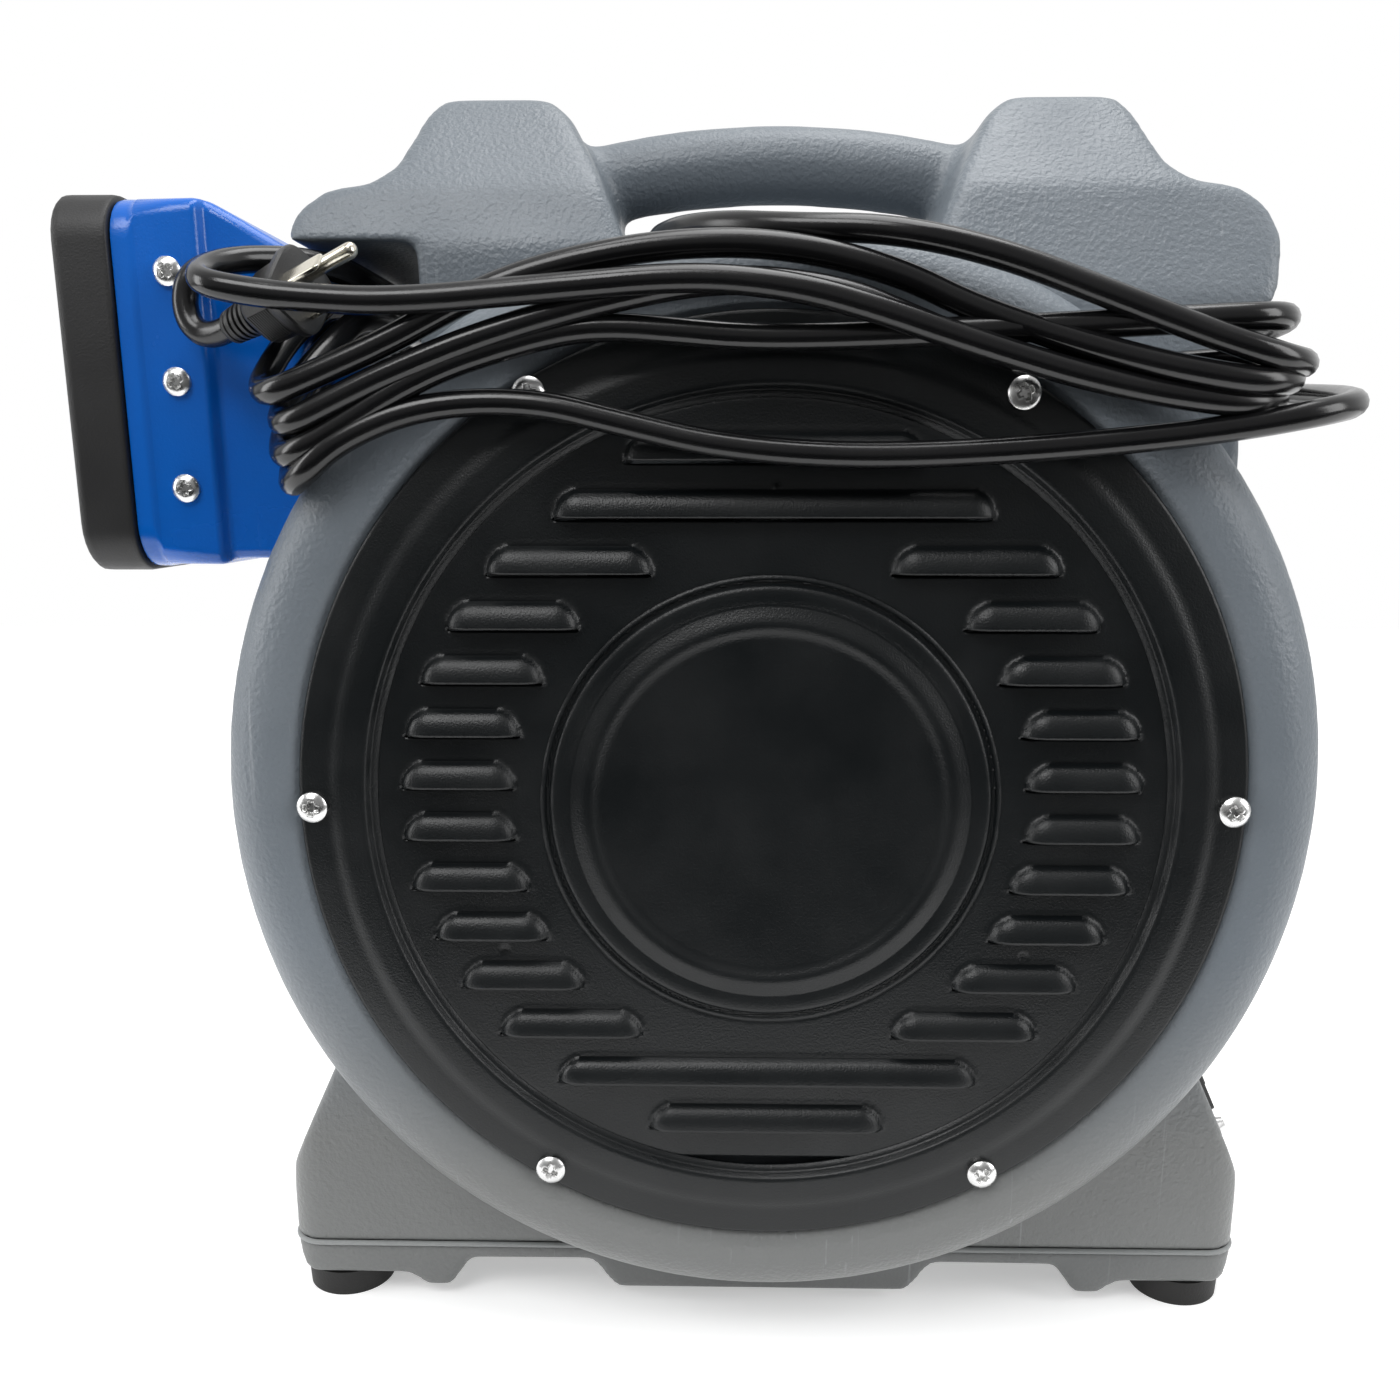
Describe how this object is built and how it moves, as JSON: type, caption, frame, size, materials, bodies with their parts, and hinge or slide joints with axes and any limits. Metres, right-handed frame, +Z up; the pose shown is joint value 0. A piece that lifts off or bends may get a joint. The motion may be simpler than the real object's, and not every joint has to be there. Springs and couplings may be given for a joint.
{
  "type": "centrifugal air mover",
  "caption": "Snail-shaped floor drying fan with round louvred side inlets, a flared side outlet, moulded base, top handle bar and wrapped mains cord.",
  "frame": {"origin": "centre of the bounding box's footprint, without the free cord and plug, on the floor plane under the feet", "axes": "+Z up; -Y out of the louvred front cover, along the impeller's axis; -X out of the air outlet"},
  "size_m": [0.4652, 0.251, 0.4425],
  "materials": {
    "housing_plastic": "cool grey roto-moulded polyethylene with a fine pebble texture and handling scuffs",
    "base_plastic": "warm grey roto-moulded polyethylene with dust and scuffs",
    "nozzle_plastic": "glossy blue injection-moulded polypropylene",
    "rim_plastic": "black satin injection-moulded plastic",
    "cover_plastic": "near-black satin moulded plastic",
    "grille_plastic": "near-black satin moulded plastic",
    "guard_plastic": "black satin plastic",
    "foot_rubber": "black moulded rubber",
    "cord_rubber": "glossy black thermoplastic rubber jacket",
    "gland_rubber": "black flexible strain relief",
    "plug_rubber": "black moulded PVC plug",
    "plug_brass": "bright plated brass",
    "zinc_screw": "bright zinc-plated steel",
    "panel_plastic": "black satin plastic plate",
    "switch_plastic": "black gloss plastic",
    "motor_steel": "black enamelled steel",
    "motor_bell": "die-cast aluminium",
    "winding_copper": null,
    "lamination_steel": "stacked steel laminations",
    "shaft_steel": "ground steel",
    "bracket_steel": "painted pressed steel",
    "wheel_plastic": "black glass-filled nylon",
    "liner_plastic": "grey polypropylene",
    "capacitor_shell": "pale grey plastic can"
  },
  "bodies": {
    "machine": {"base_tray": "base_plastic", "breaker_body": "panel_plastic", "capacitor": "capacitor_shell", "capacitor_clip": "bracket_steel", "control_plate": "panel_plastic", "control_plate_screws": "zinc_screw", "cord_gland": "gland_rubber", "cord_tail": "cord_rubber", "cord_winding": "cord_rubber", "cover_screws": "zinc_screw", "foot_front_left": "foot_rubber", "foot_front_right": "foot_rubber", "foot_rear_left": "foot_rubber", "foot_rear_right": "foot_rubber", "foot_screws": "zinc_screw", "front_bearing": "shaft_steel", "front_cover": "cover_plastic", "front_inlet_ring": "liner_plastic", "front_windings": "winding_copper", "grille_screws": "zinc_screw", "handle_bar": "housing_plastic", "housing": "housing_plastic", "left_tower": "housing_plastic", "motor_bracket": "bracket_steel", "motor_front_bell": "motor_bell", "motor_rear_bell": "motor_bell", "motor_screws": "zinc_screw", "motor_shell": "motor_steel", "nozzle_duct": "nozzle_plastic", "nozzle_rim": "rim_plastic", "nozzle_screws": "zinc_screw", "outlet_guard": "guard_plastic", "plug_blades": "plug_brass", "plug_body": "plug_rubber", "plug_ground_pin": "plug_brass", "rear_bearing": "shaft_steel", "rear_grille": "grille_plastic", "rear_inlet_ring": "liner_plastic", "rear_windings": "winding_copper", "right_tower": "housing_plastic", "scroll_wrap": "liner_plastic", "stator_core": "lamination_steel", "switch_body": "panel_plastic"},
    "rotor": {"rotor_core": "lamination_steel", "motor_shaft": "shaft_steel", "fan_wheel": "wheel_plastic", "fan_hub": "motor_bell", "hub_set_screw": "shaft_steel"},
    "rocker": {"switch_rocker": "switch_plastic"},
    "button": {"breaker_button": "switch_plastic"}
  },
  "joints": [
    {"name": "impeller_spin", "type": "hinge", "parent": "machine", "child": "rotor", "pos_m": [0.027, -0.10775, 0.208], "axis": [0, 1, 0], "continuous": true},
    {"name": "switch_rock", "type": "hinge", "parent": "machine", "child": "rocker", "pos_m": [0.19804, -0.03375, 0.08317], "axis": [-0.4242, 0, 0.9056], "range_deg": [0, 16]},
    {"name": "breaker_press", "type": "slide", "parent": "machine", "child": "button", "axis": [-0.9056, 0, -0.4242], "range_m": [0, 0.002], "stiffness_N_per_m": 500}
  ]
}
